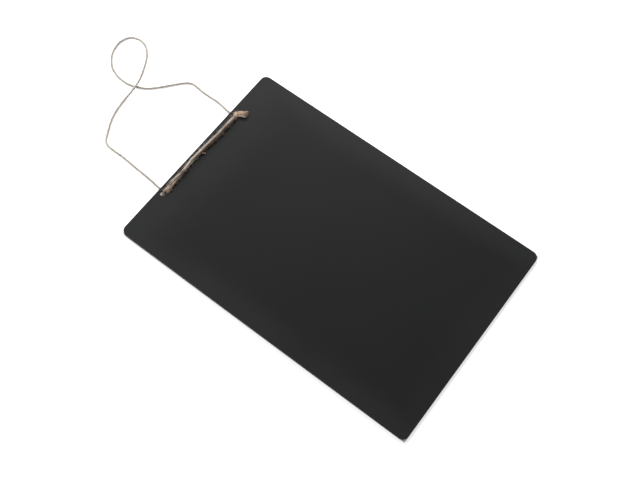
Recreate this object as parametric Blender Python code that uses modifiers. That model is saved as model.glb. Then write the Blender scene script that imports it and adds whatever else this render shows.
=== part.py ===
# Wall chalkboard: a thin rounded panel with two cord holes, hung on one length of jute twine.
# The board lies on its back, as in the photograph, with the loop spread past its top edge.
# +X runs to the right of the writing face, +Y to the hanging edge, +Z out of the face.
# The origin is under the middle of the board, on the table.

import math

import bmesh
import bpy
from mathutils import Matrix, Vector

# Panel
BOARD_WIDTH = 0.200
BOARD_HEIGHT = 0.300
BOARD_THICKNESS = 0.003
CORNER_RADIUS = 0.006
CORNER_SEGMENTS = 8
ARRIS_RADIUS = 0.0004
ARRIS_SEGMENTS = 2

# Cord holes
HOLE_SPACING = 0.101
HOLE_INSET = 0.005
HOLE_DIAMETER = 0.005
HOLE_SIDES = 32
CUTTER_OVERRUN = 0.001

# Twine
TWINE_DIAMETER = 0.002
CLEARANCE = 0.0003
TUBE_RESOLUTION = 2
LOOP_POINT_SPACING = 0.005
STRAND_POINT_SPACING = 0.0025
BEND_STEPS = 6
RUN_STEPS = 4
NOSE_ANGLES = (20, 45, 70)
RIM_BEND_SHARE = 0.75

# Where the twine leaves the back of the board at its top edge
LEFT_EXIT_X = -0.0472
RIGHT_EXIT_X = 0.0500

# Hanging loop, from the left exit to the right one: x, y and the lift over the table's level
LOOP_ROUTE = (
    (-0.0469, 0.1545, 0),
    (-0.0454, 0.1683, 0),
    (-0.0445, 0.1835, 0),
    (-0.0434, 0.1984, 0),
    (-0.0434, 0.2099, 0),
    (-0.0427, 0.2177, 0),
    (-0.0394, 0.2231, 0),
    (-0.0333, 0.2267, 0),
    (-0.0215, 0.2329, 0),
    (-0.0117, 0.2361, 0),
    (-0.0007, 0.2378, 0.0002),
    (0.0096, 0.2376, 0.0018),
    (0.0165, 0.2381, 0.0025),
    (0.0228, 0.2392, 0.0025),
    (0.0293, 0.2416, 0.0017),
    (0.0409, 0.2476, 0),
    (0.0505, 0.2531, 0),
    (0.0568, 0.2593, 0),
    (0.0599, 0.2655, 0),
    (0.0604, 0.2715, 0),
    (0.0589, 0.2772, 0),
    (0.0557, 0.2813, 0),
    (0.0505, 0.2837, 0),
    (0.0439, 0.2843, 0),
    (0.0361, 0.2825, 0),
    (0.0289, 0.2784, 0),
    (0.0226, 0.2720, 0),
    (0.0187, 0.2646, 0),
    (0.0168, 0.2553, 0),
    (0.0172, 0.2456, 0),
    (0.0203, 0.2365, 0),
    (0.0245, 0.2289, 0),
    (0.0329, 0.2204, 0),
    (0.0432, 0.2115, 0),
    (0.0509, 0.2040, 0),
    (0.0533, 0.1984, 0),
    (0.0528, 0.1912, 0),
    (0.0521, 0.1822, 0),
    (0.0523, 0.1682, 0),
    (0.0504, 0.1545, 0),
)

# Twisted pair along the front: place along the hole spacing, and offset from the hole line
# in twine diameters
PAIR_LINE_SHARES = (
    (-0.470, -0.85),
    (-0.416, -0.80),
    (-0.376, -0.62),
    (-0.327, -0.20),
    (-0.267, -0.16),
    (-0.198, -0.28),
    (-0.149, -0.25),
    (-0.099, -0.30),
    (-0.050, -0.30),
    (0.000, -0.34),
    (0.050, -0.48),
    (0.099, -0.68),
    (0.149, -0.85),
    (0.198, -0.95),
    (0.267, -1.10),
    (0.327, -1.00),
    (0.376, -1.06),
    (0.416, -1.16),
    (0.446, -1.18),
    (0.475, -0.98),
    (0.500, -0.75),
)
TWIST_TURNS = 0.82
TWIST_START_SHARE = -0.09
TWIST_END_SHARE = -0.36
FRAY_START_SHARE = -0.34
FRAY_END_SHARE = -0.468
FRAY_RADIUS = 0.0017

# At the right hole the right end rises beside the left one, crosses over it and settles
# below it as it runs back
CROSS_TURNS = 0.5
CROSS_PITCH = 0.009
CROSS_STEPS = 12
RISER_SHIFT = 0.0005
RISER_STEPS = 6
SETTLE_TURNS = 0.18
SETTLE_LENGTH = 0.006
SETTLE_STEPS = 12

# Frayed tail past the crossing, in twine diameters: x and y from the hole, height over the
# face, and the radius
TAIL_SHARES = (
    (-0.55, -0.75, 0.65, 0.50),
    (-0.15, -0.90, 0.70, 0.55),
    (0.22, -1.25, 0.90, 0.74),
    (0.50, -1.80, 1.10, 0.94),
    (0.78, -2.45, 1.28, 1.11),
    (1.15, -3.20, 1.38, 1.21),
    (1.60, -3.95, 1.41, 1.24),
    (2.10, -4.65, 1.41, 1.22),
)

BOARD_COLOUR = (0.014, 0.0143, 0.015)
BOARD_ROUGHNESS = 0.5
TWINE_COLOUR = (0.56, 0.48, 0.39)
TWINE_ROUGHNESS = 0.9

TWINE_RADIUS = TWINE_DIAMETER / 2
LYING = TWINE_RADIUS + CLEARANCE
BESIDE = TWINE_DIAMETER + CLEARANCE
HOLE_X = HOLE_SPACING / 2
HOLE_Y = BOARD_HEIGHT - HOLE_INSET
BEND_RADIUS = TWINE_DIAMETER * RIM_BEND_SHARE
LEFT_RISE_X = HOLE_DIAMETER / 2 - LYING - HOLE_X
RISER_X = HOLE_X + RISER_SHIFT
CROSS_END_X = RISER_X - CROSS_TURNS * CROSS_PITCH
PAIR_END_X = CROSS_END_X - SETTLE_LENGTH

# The back rests on the table at its bottom edge and on the twine under its top edge
TILT = math.asin((TWINE_DIAMETER + CLEARANCE) / (HOLE_Y + BEND_RADIUS))
HINGE_Y = BOARD_HEIGHT * (math.cos(TILT) - 0.5) + LYING


def clear_scene():
    for old in list(bpy.data.objects):
        bpy.data.objects.remove(old, do_unlink=True)


def make_collection(name):
    collection = bpy.data.collections.new(name)
    bpy.context.scene.collection.children.link(collection)
    return collection


def make_material(name, colour, roughness):
    material = bpy.data.materials.new(name)
    material.use_nodes = True
    shader = material.node_tree.nodes["Principled BSDF"]
    shader.inputs["Base Color"].default_value = (*colour, 1)
    shader.inputs["Roughness"].default_value = roughness
    shader.inputs["Metallic"].default_value = 0
    return material


def smooth_step(start, end, value):
    share = min(max((value - start) / (end - start), 0), 1)
    return share * share * (3 - 2 * share)


def dense_curve(route, steps=12):
    # Smooth curve through the points of a route, whatever their number of coordinates
    knots = [Vector(point) for point in route]
    knots.insert(0, 2 * knots[0] - knots[1])
    knots.append(2 * knots[-1] - knots[-2])
    dense = []
    for before, start, end, after in zip(knots, knots[1:], knots[2:], knots[3:]):
        for step in range(steps):
            t = step / steps
            line = 2 * start + (end - before) * t
            bow = (2 * before - 5 * start + 4 * end - after) * t * t
            turn = (3 * start - before - 3 * end + after) * t * t * t
            dense.append((line + bow + turn) / 2)
    dense.append(knots[-2])
    return dense


def even_points(dense, spacing):
    # The same curve at even steps of about the spacing
    reached = [0]
    for start, end in zip(dense, dense[1:]):
        reached.append(reached[-1] + (end - start).length)
    count = max(2, round(reached[-1] / spacing))
    points = []
    place = 0
    for index in range(count + 1):
        goal = reached[-1] * index / count
        while place < len(dense) - 2 and reached[place + 1] < goal:
            place += 1
        share = (goal - reached[place]) / (reached[place + 1] - reached[place])
        points.append(dense[place].lerp(dense[place + 1], share))
    return points


def make_tube(name, points, radii, material, collection):
    # Round tube along the points, with its own radius at each and closed ends
    curve = bpy.data.curves.new(name, "CURVE")
    curve.dimensions = "3D"
    curve.bevel_depth = TWINE_RADIUS
    curve.bevel_resolution = TUBE_RESOLUTION
    curve.use_fill_caps = True
    spline = curve.splines.new("POLY")
    spline.points.add(len(points) - 1)
    for target, point, radius in zip(spline.points, points, radii):
        target.co = (*point, 1)
        target.radius = radius / TWINE_RADIUS
    spline.use_smooth = True
    curve.materials.append(material)
    tube = bpy.data.objects.new(name, curve)
    collection.objects.link(tube)
    return tube


def make_board_frame(collection):
    # Back face of the board, about the middle of its bottom edge
    frame = bpy.data.objects.new("board_frame", None)
    frame.location = (0, -BOARD_HEIGHT / 2, 0)
    frame.rotation_euler = (TILT, 0, 0)
    collection.objects.link(frame)
    return frame


def make_hole_cutter(side, frame, cutters):
    mesh = bpy.data.meshes.new("hole_cutter")
    shape = bmesh.new()
    bmesh.ops.create_cone(
        shape,
        cap_ends=True,
        segments=HOLE_SIDES,
        radius1=HOLE_DIAMETER / 2,
        radius2=HOLE_DIAMETER / 2,
        depth=BOARD_THICKNESS + 2 * CUTTER_OVERRUN,
    )
    shape.to_mesh(mesh)
    shape.free()
    cutter = bpy.data.objects.new("hole_cutter", mesh)
    cutter.parent = frame
    cutter.location = (side * HOLE_X, HOLE_Y, BOARD_THICKNESS / 2)
    cutter.hide_render = True
    cutter.display_type = "WIRE"
    cutters.objects.link(cutter)
    return cutter


def make_board(frame, material, collection, cutters):
    # A box with rounded corners, drilled twice, its edges and hole rims softened
    mesh = bpy.data.meshes.new("board_panel")
    shape = bmesh.new()
    size = Matrix.Diagonal((BOARD_WIDTH, BOARD_HEIGHT, BOARD_THICKNESS, 1))
    middle = Matrix.Translation((0, BOARD_HEIGHT / 2, BOARD_THICKNESS / 2))
    bmesh.ops.create_cube(shape, size=1, matrix=middle @ size)
    upright = [edge for edge in shape.edges if is_upright(edge)]
    bmesh.ops.bevel(
        shape,
        geom=upright,
        affect="EDGES",
        offset=CORNER_RADIUS,
        segments=CORNER_SEGMENTS,
        profile=0.5,
    )
    shape.to_mesh(mesh)
    shape.free()
    mesh.materials.append(material)
    board = bpy.data.objects.new("board_panel", mesh)
    board.parent = frame
    collection.objects.link(board)
    for side in (-1, 1):
        cut = board.modifiers.new("cord_hole", "BOOLEAN")
        cut.operation = "DIFFERENCE"
        cut.object = make_hole_cutter(side, frame, cutters)
    arris = board.modifiers.new("softened_edges", "BEVEL")
    arris.width = ARRIS_RADIUS
    arris.segments = ARRIS_SEGMENTS
    arris.limit_method = "ANGLE"
    arris.angle_limit = math.radians(60)
    return board


def is_upright(edge):
    start, end = edge.verts
    return abs((end.co - start.co).z) > BOARD_THICKNESS / 2


def lead_points(exit_x, hole_x):
    # Under the board from its top edge, then round the hole's rim and up into the hole
    turn_y = HOLE_Y + BEND_RADIUS
    run = BOARD_HEIGHT - turn_y
    whole = run + BEND_RADIUS * math.pi / 2
    points = []
    for step in range(RUN_STEPS):
        gone = run * step / RUN_STEPS
        x = exit_x + (hole_x - exit_x) * smooth_step(0, whole, gone)
        points.append(Vector((x, BOARD_HEIGHT - gone, -LYING)))
    for step in range(BEND_STEPS + 1):
        angle = math.pi / 2 * step / BEND_STEPS
        x = exit_x + (hole_x - exit_x) * smooth_step(0, whole, run + BEND_RADIUS * angle)
        y = turn_y - BEND_RADIUS * math.sin(angle)
        z = -LYING + BEND_RADIUS * (1 - math.cos(angle))
        points.append(Vector((x, y, z)))
    return points


def pair_line_offset(x):
    # Offset of the pair's middle from the hole line at a place along the front
    line = [
        Vector((along * HOLE_SPACING, offset * TWINE_DIAMETER))
        for along, offset in dense_curve(PAIR_LINE_SHARES)
    ]
    for start, end in zip(line, line[1:]):
        if start.x <= x <= end.x:
            share = (x - start.x) / (end.x - start.x)
            return start.lerp(end, share).y
    return line[0].y if x < line[0].x else line[-1].y


def pair_angle(x):
    # Angle of the right end about the left one. It comes from the crossing on the lower side,
    # settles under the left end, and makes most of a slow turn on its way to the left hole.
    left_over = min(max((x - PAIR_END_X) / SETTLE_LENGTH, 0), 1)
    rate = SETTLE_LENGTH / (CROSS_PITCH * SETTLE_TURNS)
    settled = CROSS_TURNS + SETTLE_TURNS * (1 - left_over ** rate)
    twist = smooth_step(-TWIST_START_SHARE * HOLE_SPACING, -TWIST_END_SHARE * HOLE_SPACING, -x)
    return 2 * math.pi * (settled + TWIST_TURNS * twist)


def left_strand_point(x):
    angle = pair_angle(x)
    crossing = smooth_step(PAIR_END_X, CROSS_END_X, x)
    side = BESIDE / 2 * math.cos(angle) * (1 - crossing)
    rise = BESIDE * max(-math.sin(angle), 0)
    y = HOLE_Y + pair_line_offset(x) - side
    return Vector((x, y, BOARD_THICKNESS + LYING + rise))


def beside_left(x, angle, radius):
    # Middle of the right end at an angle about the left one
    spread = BESIDE + radius - TWINE_RADIUS
    side = Vector((0, spread * math.cos(angle), BESIDE * math.sin(angle)))
    swell = Vector((0, 0, radius - TWINE_RADIUS))
    return left_strand_point(x) + side + swell


def even_steps(start, end, spacing):
    count = max(1, round(abs(end - start) / spacing))
    return [start + (end - start) * index / count for index in range(1, count + 1)]


def settle_steps():
    # From the crossing to the pair, closest together where the right end still turns fast
    shares = [index / SETTLE_STEPS for index in range(1, SETTLE_STEPS + 1)]
    return [CROSS_END_X - SETTLE_LENGTH * share * share for share in shares]


def make_left_end(frame, material, collection):
    # Up the right side of the left hole, along the front and out as the frayed tail
    points = lead_points(LEFT_EXIT_X, LEFT_RISE_X)
    middle_x = LEFT_RISE_X + BEND_RADIUS
    middle_z = BOARD_THICKNESS + LYING - BEND_RADIUS
    for step in range(BEND_STEPS + 1):
        angle = math.pi / 2 * step / BEND_STEPS
        x = middle_x - BEND_RADIUS * math.cos(angle)
        z = middle_z + BEND_RADIUS * math.sin(angle)
        points.append(Vector((x, HOLE_Y, z)))
    places = even_steps(middle_x, PAIR_END_X, STRAND_POINT_SPACING)
    places += settle_steps()[-2::-1]
    tail_x = HOLE_X + TAIL_SHARES[0][0] * TWINE_DIAMETER
    places += even_steps(CROSS_END_X, tail_x, TWINE_DIAMETER)[:-1]
    points += [left_strand_point(x) for x in places]
    radii = [TWINE_RADIUS] * len(points)
    for along, across, height, radius in TAIL_SHARES:
        x = HOLE_X + along * TWINE_DIAMETER
        y = HOLE_Y + across * TWINE_DIAMETER
        points.append(Vector((x, y, BOARD_THICKNESS + height * TWINE_DIAMETER)))
        radii.append(radius * TWINE_DIAMETER)
    strand = make_tube("left_twine_end", points, radii, material, collection)
    strand.parent = frame
    return strand


def make_right_end(frame, material, collection):
    # Up through the right hole, over the left end and back along it to its fray
    points = lead_points(RIGHT_EXIT_X, HOLE_X)
    foot = points[-1]
    head = beside_left(RISER_X, 0, TWINE_RADIUS)
    for step in range(1, RISER_STEPS + 1):
        share = step / RISER_STEPS
        lean = smooth_step(0, 1, share)
        x = foot.x + (head.x - foot.x) * lean
        y = foot.y + (head.y - foot.y) * lean
        z = foot.z + (head.z - foot.z) * share
        points.append(Vector((x, y, z)))
    for step in range(1, CROSS_STEPS + 1):
        turns = CROSS_TURNS * step / CROSS_STEPS
        x = RISER_X - CROSS_PITCH * turns
        points.append(beside_left(x, 2 * math.pi * turns, TWINE_RADIUS))
    places = settle_steps()
    places += even_steps(PAIR_END_X, FRAY_END_SHARE * HOLE_SPACING, STRAND_POINT_SPACING)
    radii = [TWINE_RADIUS] * len(points)
    for x in places:
        fray = smooth_step(-FRAY_START_SHARE * HOLE_SPACING, -FRAY_END_SHARE * HOLE_SPACING, -x)
        radius = TWINE_RADIUS + (FRAY_RADIUS - TWINE_RADIUS) * fray
        points.append(beside_left(x, pair_angle(x), radius))
        radii.append(radius)
    strand = make_tube("right_twine_end", points, radii, material, collection)
    strand.parent = frame
    return strand


def make_hanging_loop(material, collection):
    # The loop on the table. Its round noses are centred on the hinge line at the top edge.
    left_root = Vector((LEFT_EXIT_X, HINGE_Y, TWINE_RADIUS))
    right_root = Vector((RIGHT_EXIT_X, HINGE_Y, TWINE_RADIUS))
    route = [Vector((x, y, TWINE_RADIUS + lift)) for x, y, lift in LOOP_ROUTE]
    dense = dense_curve([left_root] + route + [right_root])
    points = even_points(dense, LOOP_POINT_SPACING)
    for point in points:
        point.z = max(point.z, TWINE_RADIUS)
    radii = [TWINE_RADIUS] * len(points)
    left_nose = []
    right_nose = []
    nose_radii = []
    for degrees in NOSE_ANGLES:
        angle = math.radians(degrees)
        reach = Vector((0, TWINE_RADIUS * math.cos(angle), 0))
        left_nose.append(left_root - reach)
        right_nose.insert(0, right_root - reach)
        nose_radii.append(TWINE_RADIUS * math.sin(angle))
    points = left_nose + points + right_nose
    radii = nose_radii + radii + nose_radii[::-1]
    hinge = Vector((0, HINGE_Y, TWINE_RADIUS))
    points = [point - hinge for point in points]
    loop = make_tube("hanging_loop", points, radii, material, collection)
    loop.location = hinge
    return loop


def main():
    clear_scene()
    parts = make_collection("wall_chalkboard")
    cutters = make_collection("cutters")
    lacquer = make_material("blackboard_lacquer", BOARD_COLOUR, BOARD_ROUGHNESS)
    jute = make_material("jute_twine", TWINE_COLOUR, TWINE_ROUGHNESS)
    frame = make_board_frame(parts)
    make_board(frame, lacquer, parts, cutters)
    make_left_end(frame, jute, parts)
    make_right_end(frame, jute, parts)
    make_hanging_loop(jute, parts)


main()
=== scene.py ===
import math

import bpy
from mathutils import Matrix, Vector, kdtree


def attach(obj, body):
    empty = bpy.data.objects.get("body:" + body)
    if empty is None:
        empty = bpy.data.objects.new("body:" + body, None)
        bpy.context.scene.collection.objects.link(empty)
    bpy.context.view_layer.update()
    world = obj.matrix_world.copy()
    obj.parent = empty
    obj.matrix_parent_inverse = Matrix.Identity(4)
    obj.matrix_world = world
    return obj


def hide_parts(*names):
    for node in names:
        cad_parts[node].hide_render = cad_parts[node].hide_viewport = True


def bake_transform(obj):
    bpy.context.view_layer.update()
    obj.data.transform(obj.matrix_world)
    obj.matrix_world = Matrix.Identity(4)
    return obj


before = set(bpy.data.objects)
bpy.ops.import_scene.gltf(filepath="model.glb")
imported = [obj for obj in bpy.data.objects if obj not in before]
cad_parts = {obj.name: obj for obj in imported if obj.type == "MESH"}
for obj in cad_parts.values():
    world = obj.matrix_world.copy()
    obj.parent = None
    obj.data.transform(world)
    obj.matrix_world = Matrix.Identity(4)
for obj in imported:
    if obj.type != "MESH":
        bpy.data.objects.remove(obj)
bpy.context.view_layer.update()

# A small black chalkboard on its jute twine, lying on a white table. X runs to the right of the
# writing face, Y to the hanging edge and Z up; metres throughout.

board = {
    "width": 0.200,
    "height": 0.300,
    "thickness": 0.003,
    "cornerRadius": 0.006,
    "cornerSteps": 16,
    "arrisRadius": 0.0004,
    "arrisSteps": 3,
    "holeSpacing": 0.101,
    "holeInset": 0.005,
    "holeDiameter": 0.005,
    "holeSteps": 48,
    "flatNormal": 0.999,
    "faceTolerance": 0.000001,
}

twine = {
    "diameter": 0.002,
    "clearance": 0.0003,
    "pointStep": 0.0004,
    "curveSteps": 12,
    "leastGap": 1e-9,
    "leftExitX": -0.0472,
    "rightExitX": 0.0500,
    "leadSteps": 4,
    "rimBend": 0.0015,
    "bendSteps": 6,
}


# Helpers for objects and node trees

def addObject(name, data):
    made = bpy.data.objects.new(name, data)
    bpy.context.scene.collection.objects.link(made)
    return made


def finishedMesh(source, name):
    # What the source's curve or modifier makes, in place of the source
    view = bpy.context.evaluated_depsgraph_get()
    mesh = bpy.data.meshes.new_from_object(source.evaluated_get(view), depsgraph=view)
    mesh.name = name
    bpy.data.objects.remove(source)
    return mesh


def feed(tree, node, inputs):
    # Link each socket to another node's output, or set its plain value
    for name, value in inputs.items():
        if isinstance(value, bpy.types.NodeSocket):
            tree.links.new(value, node.inputs[name])
        else:
            node.inputs[name].default_value = value


def addNode(tree, kind, inputs=None, **settings):
    node = tree.nodes.new(kind)
    for name, value in settings.items():
        setattr(node, name, value)
    feed(tree, node, inputs or {})
    return node


def output(tree, kind, inputs=None, **settings):
    return addNode(tree, kind, inputs, **settings).outputs[0]


def calc(tree, operation, *values):
    return output(tree, "ShaderNodeMath", dict(enumerate(values)), operation=operation)


def times(tree, *values):
    product = values[0]
    for value in values[1:]:
        product = calc(tree, "MULTIPLY", product, value)
    return product


def timesPlus(tree, value, factor, addend):
    return calc(tree, "MULTIPLY_ADD", value, factor, addend)


def calcVector(tree, operation, first, second):
    return output(tree, "ShaderNodeVectorMath", {0: first, 1: second}, operation=operation)


def scaled(tree, vector, amount):
    return output(tree, "ShaderNodeVectorMath", {0: vector, "Scale": amount}, operation="SCALE")


def noise(tree, place, scale, detail=1.0):
    inputs = {"Vector": place, "Scale": scale, "Detail": detail}
    return addNode(tree, "ShaderNodeTexNoise", inputs).outputs


def tinted(tree, colour, share, tint):
    # A mix node's colours are its inputs 6 and 7 and its output 2
    inputs = {"Factor": share, 6: colour, 7: (*tint, 1)}
    return addNode(tree, "ShaderNodeMix", inputs, data_type="RGBA").outputs[2]


def smoothMap(tree, value, start, full, low=0.0, high=1.0):
    inputs = {"Value": value, "From Min": start, "From Max": full, "To Min": low, "To Max": high}
    return output(tree, "ShaderNodeMapRange", inputs, interpolation_type="SMOOTHSTEP")


# Camera

photoCamera = {
    "lens": 53.983,
    "sensorWidth": 36,
    "nearClip": 0.01,
    "place": (-0.26406, -0.19369, 0.76007),
    "turnDegrees": (23.614, 0.170, -52.764),
}


def makeCamera():
    lens = bpy.data.cameras.new("camera")
    lens.lens = photoCamera["lens"]
    lens.sensor_width = photoCamera["sensorWidth"]
    lens.sensor_fit = "HORIZONTAL"
    lens.clip_start = photoCamera["nearClip"]
    camera = addObject("camera", lens)
    camera.location = photoCamera["place"]
    camera.rotation_euler = [math.radians(angle) for angle in photoCamera["turnDegrees"]]
    bpy.context.scene.camera = camera


# Routes of the twine

lying = twine["diameter"] / 2 + twine["clearance"]
beside = twine["diameter"] + twine["clearance"]
holeX = board["holeSpacing"] / 2
holeY = board["height"] - board["holeInset"]
leftRiseX = board["holeDiameter"] / 2 - lying - holeX
bendRadius = twine["rimBend"]
tilt = math.asin(beside / (holeY + bendRadius))
hingeY = board["height"] * (math.cos(tilt) - 0.5) + lying
quarterTurn = [math.pi / 2 * step / twine["bendSteps"] for step in range(twine["bendSteps"] + 1)]


def between(start, end, share):
    return start + (end - start) * share


def boardPoint(x, y, z):
    # To the table's directions from the board's own: right, up from its lower edge, off its back
    return Vector((
        x,
        y * math.cos(tilt) - z * math.sin(tilt) - board["height"] / 2,
        y * math.sin(tilt) + z * math.cos(tilt),
    ))


def smoothStep(start, end, value):
    share = min(max((value - start) / (end - start), 0), 1)
    return share * share * (3 - 2 * share)


def denseCurve(route):
    # Smooth curve through the points of a route
    steps = twine["curveSteps"]
    knots = [Vector(point) for point in route]
    knots.insert(0, 2 * knots[0] - knots[1])
    knots.append(2 * knots[-1] - knots[-2])
    dense = []
    for before, start, end, after in zip(knots, knots[1:], knots[2:], knots[3:]):
        for step in range(steps):
            t = step / steps
            line = 2 * start + (end - before) * t
            bow = (2 * before - 5 * start + 4 * end - after) * t * t
            turn = (3 * start - before - 3 * end + after) * t * t * t
            dense.append((line + bow + turn) / 2)
    dense.append(knots[-2])
    return dense


def reachOf(points):
    reached = [0]
    for start, end in zip(points, points[1:]):
        reached.append(reached[-1] + (end.xyz - start.xyz).length)
    return reached


def evenPoints(dense, spacing):
    reached = reachOf(dense)
    count = max(2, round(reached[-1] / spacing))
    points = []
    place = 0
    for index in range(count + 1):
        goal = reached[-1] * index / count
        while place < len(dense) - 2 and reached[place + 1] < goal:
            place += 1
        gap = max(reached[place + 1] - reached[place], twine["leastGap"])
        points.append(dense[place].lerp(dense[place + 1], (goal - reached[place]) / gap))
    return points


loopRoute = {
    # from the left exit to the right one: x, y and lift over the table's level
    "points": (
        (-0.0469, 0.1545, 0), (-0.0454, 0.1683, 0), (-0.0445, 0.1835, 0), (-0.0434, 0.1984, 0),
        (-0.0434, 0.2099, 0), (-0.0427, 0.2177, 0), (-0.0394, 0.2231, 0), (-0.0333, 0.2267, 0),
        (-0.0215, 0.2329, 0), (-0.0117, 0.2361, 0), (-0.0007, 0.2378, 0.0002),
        (0.0096, 0.2376, 0.0018), (0.0165, 0.2381, 0.0025), (0.0228, 0.2392, 0.0025),
        (0.0293, 0.2416, 0.0017), (0.0409, 0.2476, 0), (0.0505, 0.2531, 0), (0.0568, 0.2593, 0),
        (0.0599, 0.2655, 0), (0.0604, 0.2715, 0), (0.0589, 0.2772, 0), (0.0557, 0.2813, 0),
        (0.0505, 0.2837, 0), (0.0439, 0.2843, 0), (0.0361, 0.2825, 0), (0.0289, 0.2784, 0),
        (0.0226, 0.2720, 0), (0.0187, 0.2646, 0), (0.0168, 0.2553, 0), (0.0172, 0.2456, 0),
        (0.0203, 0.2365, 0), (0.0245, 0.2289, 0), (0.0329, 0.2204, 0), (0.0432, 0.2115, 0),
        (0.0509, 0.2040, 0), (0.0533, 0.1984, 0), (0.0528, 0.1912, 0), (0.0521, 0.1822, 0),
        (0.0523, 0.1682, 0), (0.0504, 0.1545, 0),
    ),
    # points of the two ends' routes that go with the loop's piece
    "takenPoints": 2,
}

pair = {
    # the two ends side by side along the front: share of the hole spacing, and offset from the
    # line of the holes in twine diameters
    "line": (
        (-0.470, -0.72), (-0.416, -0.78), (-0.376, -0.50), (-0.327, -0.56), (-0.267, -0.62),
        (-0.198, -0.56), (-0.149, -0.32), (-0.099, -0.22), (-0.050, -0.40), (0.000, -0.50),
        (0.050, -0.62), (0.099, -0.78), (0.149, -0.88), (0.198, -1.08), (0.267, -1.20),
        (0.327, -1.26), (0.376, -1.30), (0.416, -1.32), (0.446, -1.22), (0.475, -0.98),
        (0.500, -0.75),
    ),
    # in the same shares, where each twist starts and ends, and its turns
    "twists": ((-0.05, -0.20, 0.07), (-0.27, -0.44, -0.25)),
    "frayStart": -0.34,
    "frayEnd": -0.468,
    # share of painted shade along the pair: dark spots for the shade between and under its strands
    "dusk": 0.36,
    "pointStep": 0.0025,
}

crossing = {
    # the right end rises beside the left one, passes over it and settles below it
    "turns": 0.5,
    "pitch": 0.009,
    "steps": 12,
    "squeeze": 0.60,
    "squeezeEnd": 0.64,
    "riserX": holeX + 0.0005,
    "riserSteps": 6,
    "settleTurns": 0.18,
    "settleLength": 0.006,
    "settleSteps": 12,
}
crossing["endX"] = crossing["riserX"] - crossing["turns"] * crossing["pitch"]
crossing["pairX"] = crossing["endX"] - crossing["settleLength"]

tail = {
    # past the crossing, in twine diameters: x and y from the hole, and height over the face
    "points": (
        (-0.55, -0.75, 0.65), (-0.15, -0.90, 0.70), (0.22, -1.25, 0.90), (0.50, -1.80, 1.10),
        (0.78, -2.45, 1.28), (1.15, -3.20, 1.38), (1.60, -3.95, 1.41), (2.10, -4.65, 1.41),
    ),
}


def leadPoints(exitX, sideX):
    # Under the board from its top edge, round the rim of the hole and up into it
    turnY = holeY + bendRadius
    run = board["height"] - turnY
    whole = run + bendRadius * math.pi / 2

    def leadPoint(gone, y, z):
        return Vector((between(exitX, sideX, smoothStep(0, whole, gone)), y, z))

    points = []
    for step in range(twine["leadSteps"]):
        gone = run * step / twine["leadSteps"]
        points.append(leadPoint(gone, board["height"] - gone, -lying))
    for angle in quarterTurn:
        y = turnY - bendRadius * math.sin(angle)
        z = -lying + bendRadius * (1 - math.cos(angle))
        points.append(leadPoint(run + bendRadius * angle, y, z))
    return points


pairLine = [
    Vector((along * board["holeSpacing"], offset * twine["diameter"]))
    for along, offset in denseCurve(pair["line"])
]


def pairOffset(x):
    for start, end in zip(pairLine, pairLine[1:]):
        if start.x <= x <= end.x:
            return start.lerp(end, (x - start.x) / (end.x - start.x)).y
    return pairLine[0].y if x < pairLine[0].x else pairLine[-1].y


def pairAngle(x):
    # Where the right end lies about the left one
    leftOver = min(max((x - crossing["pairX"]) / crossing["settleLength"], 0), 1)
    rate = crossing["settleLength"] / (crossing["pitch"] * crossing["settleTurns"])
    settled = crossing["turns"] + crossing["settleTurns"] * (1 - leftOver ** rate)
    spacing = board["holeSpacing"]
    twist = sum(turns * smoothStep(-start * spacing, -end * spacing, -x)
                for start, end, turns in pair["twists"])
    return math.tau * (settled + twist)


def leftStrandPoint(x):
    angle = pairAngle(x)
    share = smoothStep(crossing["pairX"], crossing["endX"], x)
    side = beside / 2 * math.cos(angle) * (1 - share)
    rise = beside * max(-math.sin(angle), 0)
    return Vector((x, holeY + pairOffset(x) - side, board["thickness"] + lying + rise))


def besideLeft(x, angle, share=1):
    apart = beside * share
    return leftStrandPoint(x) + Vector((0, apart * math.cos(angle), apart * math.sin(angle)))


def evenSteps(start, end, spacing):
    count = max(1, round(abs(end - start) / spacing))
    return [start + (end - start) * index / count for index in range(1, count + 1)]


def settleSteps():
    count = crossing["settleSteps"]
    return [crossing["endX"] - crossing["settleLength"] * (index / count) ** 2
            for index in range(1, count + 1)]


def leftEndRoute():
    # Left exit, up the right side of the left hole, along the front and out as the tail
    points = leadPoints(twine["leftExitX"], leftRiseX)
    middleX = leftRiseX + bendRadius
    middleZ = board["thickness"] + lying - bendRadius
    for angle in quarterTurn:
        x = middleX - bendRadius * math.cos(angle)
        points.append(Vector((x, holeY, middleZ + bendRadius * math.sin(angle))))
    places = evenSteps(middleX, crossing["pairX"], pair["pointStep"])
    places += settleSteps()[-2::-1]
    tailX = holeX + tail["points"][0][0] * twine["diameter"]
    places += evenSteps(crossing["endX"], tailX, twine["diameter"])[:-1]
    return points + [leftStrandPoint(x) for x in places]


def tailRoute():
    return [Vector((
        holeX + along * twine["diameter"],
        holeY + across * twine["diameter"],
        board["thickness"] + height * twine["diameter"],
    )) for along, across, height in tail["points"]]


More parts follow.
